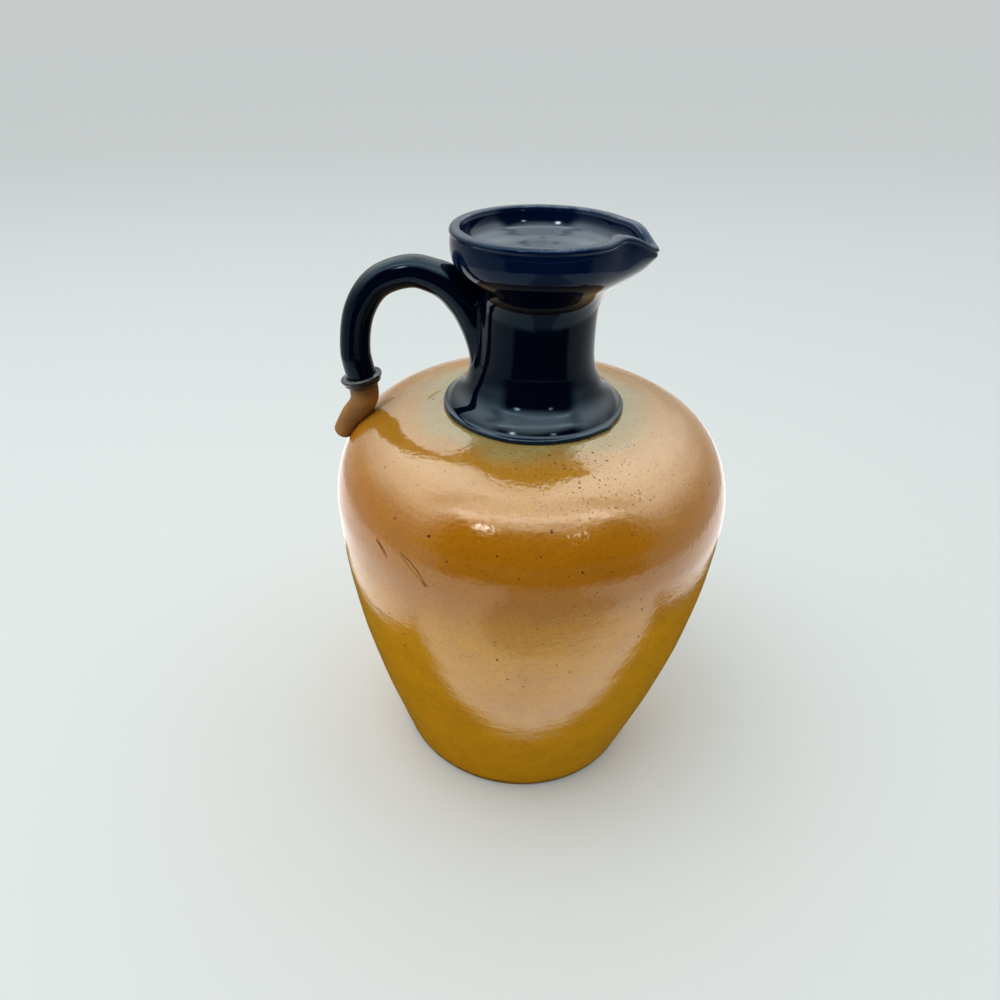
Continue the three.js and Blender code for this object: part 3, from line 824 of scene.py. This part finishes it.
def ochre_glaze():
    """Colours by height and by distance from the flange, then specks, scratches and a bare underside."""
    material, net = finish("ochre_salt_glaze")
    place, x, y, z = net.place()
    radius = net.length(x, y)
    angle = net.bearing(y, x)
    drift = net.noise(place, 26, 3)
    fine = net.noise(place, 3.2, 4, 0.6)
    cloud = net.noise(place, 9, 3)
    grain = net.noise(place, 0.7, 2, 0.6)
    colour = net.mix(net.rise(z + drift * 18, 114, 88), AMBER, GOLD)
    colour = net.mix(net.rise(z + drift * 8, 118, 131), colour, PALE)
    halo = net.rise(radius + (drift - 0.5) * 16 + (fine - 0.5) * 5, 37.5, 28.5) * net.rise(z, 112, 118)
    colour = net.mix(halo * 0.85, colour, HALO)
    colour = net.mix(net.rise(cloud, 0.35, 0.75) * 0.22, colour, CLOUDS)
    colour = net.mix(net.rise(fine, 0.55, 0.8) * 0.25, colour, BLOTCHES)
    colour = net.mix(net.rise(grain, 0.45, 0.75) * 0.4, colour, GRAINS)
    # Darker brown along the bottom edge.
    bottom_band = net.rise(z + (fine - 0.5) * 2.4 + (drift - 0.5) * 3, 3.6, 0.4)
    colour = net.mix(bottom_band * 0.85, colour, BOTTOM_BROWN)
    dots = all_specks(net, place, fine, angle, z)
    colour = net.mix(net.math("MINIMUM", dots * 1.5, 1) * 0.92, colour, SPECK)
    marks = all_scratches(net, fine, angle, x, y, z)
    colour = net.mix(marks * 0.7, colour, SPECK)
    under = net.rise(z, 0.25, 0.05)
    colour = net.mix(under, colour, net.mix(fine, BARE, BARE_DARK))
    peel = net.noise(place, 1.5, 1, 0.4)
    slow = net.noise(place, 9, 1)
    level = net.node("VectorMath", {"operation": "MULTIPLY"}, {0: place, 1: (0.1, 0.1, 1.0)})
    rings = net.noise(level, 0.55, 2)
    rough = 0.12 + fine * 0.05 + dots * 0.3 + bottom_band * 0.12 + under * 0.5 + marks * 0.2
    pitted = net.rise(net.math("MAXIMUM", dots, marks), 0.5, 0.9)
    net.shade({
        "Base Color": colour, "Metallic": pitted * 0.9, "Roughness": rough, "IOR": 1.5,
        "Normal": net.relief(peel * (0.065 + under * 0.15) + slow * 0.09 + rings * 0.035),
        "Specular Tint": GLASS_TINT,
    })
    return material


body.data.materials.append(ochre_glaze())
print("amber salt glaze made")

# %% [markdown]
# The neck's glaze is so deep a cobalt that it looks black. It shows its blue only where light passes through
# a thin coat: on the rim and at the edge of the flange. Thin lavender lines on the rim's two edges are worn
# glaze with a painted highlight. Under the lip a brown patch is a painted reflection of the amber body. Its
# mirror strength is set below that of real glass, so that its blacks stay deep. The neck's points carry the
# radius and height that they had before the lip was pulled, so the finish follows the rim into the lip. The
# handle has neither number and takes the deep colour.

# %% The cobalt glaze
DEEP, NAVY = (0.0005, 0.0016, 0.007), (0.0008, 0.006, 0.032)
FLANGE_EDGE, ON_TOP = (0.010, 0.026, 0.06), (0.003, 0.012, 0.045)
WORN_AND_HIGHLIT, AMBER_BODY_REFLECTION = (0.13, 0.17, 0.25), (0.075, 0.028, 0.008)
DARK_MIRROR, BLUE_TINT = 0.13, (0.5, 0.8, 1.0)
AMBER_REFLECTION_ANGLE, AMBER_REFLECTION_SPREAD = -48, 13


def cobalt_glaze():
    """Deep blue, lighter on rim and flange, worn glaze with painted highlights on the rim's edges, a painted
    reflection of the amber body under the lip, and the funnel and skirt glossier.
    """
    material, net = finish("cobalt_glaze")
    place, x, y, _ = net.place()
    angle = net.bearing(y, x)
    radius = net.node("Attribute", {"attribute_name": "thrown_radius"}, {}, "Fac")
    height = net.node("Attribute", {"attribute_name": "thrown_height"}, {}, "Fac")
    fine = net.noise(place, 1.6, 4, 0.6)
    drift = net.noise(place, 14, 2)
    rim = net.rise(height, RIM_TOP - 11.5, RIM_TOP - 5)
    colour = net.mix(rim * (0.6 + drift * 0.6), DEEP, NAVY)
    flange = net.rise(radius, 24.2, 26.2) * net.rise(height, SEAT + 3, SEAT + 1)
    colour = net.mix(flange * 0.5, colour, FLANGE_EDGE)
    on_top = net.rise(height, RIM_TOP - 1.3, RIM_TOP - 0.5)
    colour = net.mix(on_top * 0.4, colour, ON_TOP)
    # Thin pale lines on the rim's two edges: worn glaze with a painted highlight.
    worn_highlit_edges = net.bell(radius, RIM_RADIUS - 0.5, 0.22) + net.bell(radius, RIM_RADIUS - RIM_WALL + 0.35, 0.2)
    worn_highlit_edges = worn_highlit_edges * on_top * net.rise(drift + (fine - 0.5) * 0.7, 0.45, 0.62)
    colour = net.mix(net.math("MINIMUM", worn_highlit_edges, 1) * 0.7, colour, WORN_AND_HIGHLIT)
    # A brown patch under the lip: a painted reflection of the amber body.
    painted_amber_reflection = net.bell(angle, AMBER_REFLECTION_ANGLE, AMBER_REFLECTION_SPREAD) * net.bell(height, RIM_TOP - 13.5, 2.4)
    painted_amber_reflection = painted_amber_reflection * net.rise(radius, 16, 17.5)
    colour = net.mix(net.math("MINIMUM", painted_amber_reflection * 1.1, 1), colour, AMBER_BODY_REFLECTION)
    slow = net.noise(place, 6, 1)
    dents = net.noise(place, 1.4, 1) * 0.012 + slow * 0.04 + on_top * fine * 0.02
    funnel = net.rise(radius, 21.2, 20.2) * net.rise(height, RIM_TOP - 14, RIM_TOP - 12)
    skirt = net.rise(radius, 18.5, 24) * net.rise(height, SEAT + 8, SEAT + 5)
    net.shade({
        "Base Color": colour, "Roughness": 0.06 + on_top * 0.04 + fine * 0.02, "Normal": net.relief(dents),
        "IOR": 1.5, "Specular IOR Level": DARK_MIRROR, "Specular Tint": BLUE_TINT, "Coat Roughness": 0.05,
        "Coat Weight": funnel * 0.38 + skirt * 0.12,
    })
    return material


cobalt = cobalt_glaze()
for piece in (neck, handle):
    piece.data.materials.append(cobalt)
print("cobalt glaze made")

# %% [markdown]
# The collar is the same glaze run thin over a raised ring, so it is grey and bluish on top and brown beneath.
# It is split by height along the leg's own line, so the change follows the ring and not the floor. A painted
# highlight runs along its rolled edge.

# %% The collar's thin glaze
COLLAR_TOP, COLLAR_UNDER, COLLAR_EDGE_HIGHLIGHT = (0.004, 0.007, 0.012), (0.035, 0.018, 0.008), (0.06, 0.058, 0.05)


def collar_glaze():
    """Dark above and brown beneath, split by height along the leg, with a painted highlight on the rolled
    edge.
    """
    material, net = finish("collar_glaze")
    place, x, y, z = net.place()
    fine = net.noise(place, 1.6, 4, 0.6)
    along = x * math.cos(HANDLE_ANGLE) + y * math.sin(HANDLE_ANGLE)
    up = z - COLLAR[1] + (along - COLLAR[0]) * math.tan(COLLAR_TILT)
    colour = net.mix(net.rise(up + (fine - 0.5) * 0.6, 0.0, -0.7), COLLAR_TOP, COLLAR_UNDER)
    # A pale line along the rolled edge: a painted highlight.
    colour = net.mix(net.bell(up, 1.2, 0.25) * 0.35, colour, COLLAR_EDGE_HIGHLIGHT)
    net.shade({
        "Base Color": colour, "Roughness": 0.1 + net.rise(up, 0, -0.9) * 0.3,
        "Normal": net.relief(fine * 0.03), "IOR": 1.5, "Specular IOR Level": 0.27,
    })
    return material


collar.data.materials.append(collar_glaze())
print("collar glaze made")

# %% [markdown]
# The foot is bare fired clay: warm brown and matt, with painted shade close under the collar.

# %% The bare clay
CLAY, CLAY_DARK = (0.30, 0.14, 0.032), (0.20, 0.088, 0.02)
CLAY_GRAIN, CLAY_COLLAR_SHADE = (0.11, 0.045, 0.012), (0.075, 0.035, 0.018)


def bare_clay():
    """Warm brown in two drifting tones with a dark grain, and painted shade close under the collar."""
    material, net = finish("bare_stoneware")
    place, _, _, z = net.place()
    fine = net.noise(place, 0.9, 5, 0.65)
    drift = net.noise(place, 6, 2)
    colour = net.mix(net.rise(drift, 0.3, 0.7), CLAY, CLAY_DARK)
    colour = net.mix(net.rise(fine, 0.5, 0.75) * 0.5, colour, CLAY_GRAIN)
    # Painted shade on the clay close under the collar.
    painted_collar_shade = net.rise(z, COLLAR[1] - 4.5, COLLAR[1] - 1.5)
    colour = net.mix(painted_collar_shade * 0.55, colour, CLAY_COLLAR_SHADE)
    net.shade({
        "Base Color": colour, "Roughness": 0.55 + fine * 0.2, "Normal": net.relief(fine * 0.10), "IOR": 1.45,
        "Specular IOR Level": 0.2,
    })
    return material


foot.data.materials.append(bare_clay())
print("bare clay made")

# %% [markdown]
# Glazes are judged by what they mirror. The jug stands on a plain pale floor in a soft white surround, bright
# overhead and dim towards the viewer. The world's colour depends on direction: height above the horizon and
# the turn away from the viewer's side. Mirror rays see its full range, with two small bright spots and an
# arch between its dark front and its bright top. The light that falls on the clay is gentler, and the camera
# sees one plain grey that meets the far floor.

# %% The surround
FLOOR_COLOUR, FAR_FLOOR = (0.68, 0.705, 0.70), (0.613, 0.615, 0.615)
SKY_TINT, SKY_BEHIND = (0.95, 1.0, 1.0), 0.595
TURN_OFFSET = 4
ARCH_HEIGHT, ARCH_FALL, ARCH_SPREAD = 67, 12, 4.5
# Turn and its spread, height and its spread, in degrees, and strength of each bright spot.
SPOTS = [(-33, 3.6, 42.5, 3.2, 50), (27, 2.6, 37.5, 2.4, 26)]


def surround():
    """World colour by direction, for mirror rays, for falling light, and for the camera."""
    world = bpy.data.worlds.new("surround")
    bpy.context.scene.world = world
    net = Network(world)
    way = net.node("TexCoord", {}, {}, "Generated")
    split = net.node("SeparateXYZ", {}, {0: way})
    x, y, z = split, split.out("Y"), split.out("Z")
    height = net.math("ARCSINE", z) * DEGREES
    turn = net.bearing(x, -y)
    aside = net.math("ABSOLUTE", turn - TURN_OFFSET)
    flank = net.rise(aside, 52, 76)
    front = 1 - flank
    sky = flank * (0.75 + net.rise(height, 2, 62) * 6.7) + front * (0.04 + net.rise(height, 37, 60) * 6.2)
    gap = net.bell(net.math("ABSOLUTE", turn), 83, 11) * net.rise(height, 40, 52) * net.rise(height, 84, 72)
    behind = net.rise(net.math("ABSOLUTE", turn), 145, 165)
    sky = sky * (1 - gap * 0.5) * (1 - behind * 0.25)
    arch = ARCH_HEIGHT - (aside / 60) * (aside / 60) * ARCH_FALL
    strip = net.bell(height - arch, 0, ARCH_SPREAD) * net.rise(aside, 74, 62)
    mirrored = sky + strip * (3.6 + net.rise(aside, 30, 58) * 2.4)
    for middle, spread, up, up_spread, strength in SPOTS:
        mirrored = mirrored + net.bell(turn, middle, spread) * net.bell(height, up, up_spread) * strength
    falling = front * (0.12 + net.rise(height, 30, 60) * 1.13)
    falling = falling + flank * (0.8 + net.rise(height, 0, 60) * 0.45)
    rays = net.node("LightPath", {}, {})
    is_mirror, is_camera = rays.out("Is Glossy Ray"), rays.out("Is Camera Ray")
    strength = falling + (mirrored - falling) * is_mirror
    strength = strength + (SKY_BEHIND - strength) * is_camera
    light = net.node("Background", {}, {"Color": SKY_TINT, "Strength": strength})
    net.node("OutputWorld", {}, {0: light})
    world.cycles.sampling_method = "NONE"


surround()
bpy.context.scene.view_settings.view_transform = "Standard"
print("surround made")

# %% [markdown]
# The floor is one wide pale sheet. The low parts of the body mirror a dark oblong close round the foot and a
# bright surface beyond it. A photographer gets such reflections with cards: here one card lies on the floor,
# unseen by the camera and by the light, and only the glaze mirrors it.

# %% The floor and the mirrored card
FLOOR_HALF, CARD_HALF, CARD_HEIGHT = 6000, 2500, 0.1
OBLONG_LEFT, OBLONG_RIGHT, OBLONG_FRONT, OBLONG_BACK, OBLONG_SOFT = -107, 138, -62, 88, 4
OBLONG_COLOUR, OBLONG_LIGHT, CARD_LIGHT = (0.9, 0.6, 0.1), 0.16, 1.75


def flat_square(name, half, height):
    """A level square round the axis."""
    corners = np.array([[-1, -1, 0], [1, -1, 0], [1, 1, 0], [-1, 1, 0]], float) * half + [0, 0, height]
    mesh = bpy.data.meshes.new(name)
    mesh.from_pydata(corners * MM, [], [(0, 1, 2, 3)])
    square = bpy.data.objects.new(name, mesh)
    bpy.context.scene.collection.objects.link(square)
    return square


def floor_finish():
    """Matt and pale, a little darker far behind the jug."""
    material, net = finish("pale_floor")
    _, _, y, _ = net.place()
    colour = net.mix(net.rise(y, 100, 1500), FLOOR_COLOUR, FAR_FLOOR)
    net.node("OutputMaterial", {}, {0: net.node("BsdfDiffuse", {}, {"Color": colour})})
    return material


def card_finish():
    """Light of the card: dark in an oblong round the foot, bright beyond it, dim again far in front."""
    material, net = finish("mirrored_card")
    place, x, y, _ = net.place()
    wobble = (net.noise(place, 9, 2) - 0.5) * 4
    across, along = x + wobble, y + wobble
    inside = net.rise(across, OBLONG_LEFT - OBLONG_SOFT, OBLONG_LEFT)
    inside = inside * net.rise(across, OBLONG_RIGHT + OBLONG_SOFT, OBLONG_RIGHT)
    inside = inside * net.rise(along, OBLONG_FRONT - OBLONG_SOFT, OBLONG_FRONT)
    inside = inside * net.rise(y, OBLONG_BACK + OBLONG_SOFT + 1, OBLONG_BACK)
    turn = net.math("ABSOLUTE", net.bearing(x, -y) - TURN_OFFSET)
    shade = net.rise(x, -75, -45) * net.rise(x, 135, 105) * net.rise(y, -112, -132)
    near = CARD_LIGHT - shade * 0.95
    front = net.rise(turn, 58, 48)
    far = net.rise(net.length(x, y), 330, 380)
    light = near * (1 - far) + far * (0.8 - front * 0.77)
    light = light * (1 - inside) + inside * OBLONG_LIGHT
    colour = net.mix(inside, (1, 1, 1), OBLONG_COLOUR)
    net.node("OutputMaterial", {}, {0: net.node("Emission", {}, {"Color": colour, "Strength": light})})
    return material


floor = flat_square("floor", FLOOR_HALF, 0)
floor.data.materials.append(floor_finish())
card = flat_square("mirrored_card", CARD_HALF, CARD_HEIGHT)
card.data.materials.append(card_finish())
for seen in ("camera", "diffuse", "transmission", "volume_scatter", "shadow"):
    setattr(card, "visible_" + seen, False)
print("floor and card made")

# %% [markdown]
# One broad soft lamp above and to the left gives the pale floor its faint shadow. It isn't mirrored, because
# the surround already holds the bright shapes that the glaze should show.

# %% The lamp
LAMP_PLACE, LAMP_SIZE, LAMP_POWER = (-350, -150, 900), 600, 2.2
LAMP_AIM = (0, 0, 90)


def soft_lamp(place, aim, size, power):
    """A square lamp aimed at a point on the jug's axis."""
    data = bpy.data.lights.new("soft_lamp", "AREA")
    data.size = size * MM
    data.energy = power
    lamp = bpy.data.objects.new("soft_lamp", data)
    bpy.context.scene.collection.objects.link(lamp)
    lamp.location = Vector(place) * MM
    lamp.rotation_euler = (Vector(aim) * MM - lamp.location).to_track_quat("-Z", "Y").to_euler()
    lamp.visible_glossy = False
    lamp.visible_camera = False
    return lamp


lamp = soft_lamp(LAMP_PLACE, LAMP_AIM, LAMP_SIZE, LAMP_POWER)
print("lamp at", tuple(round(v, 2) for v in lamp.location))
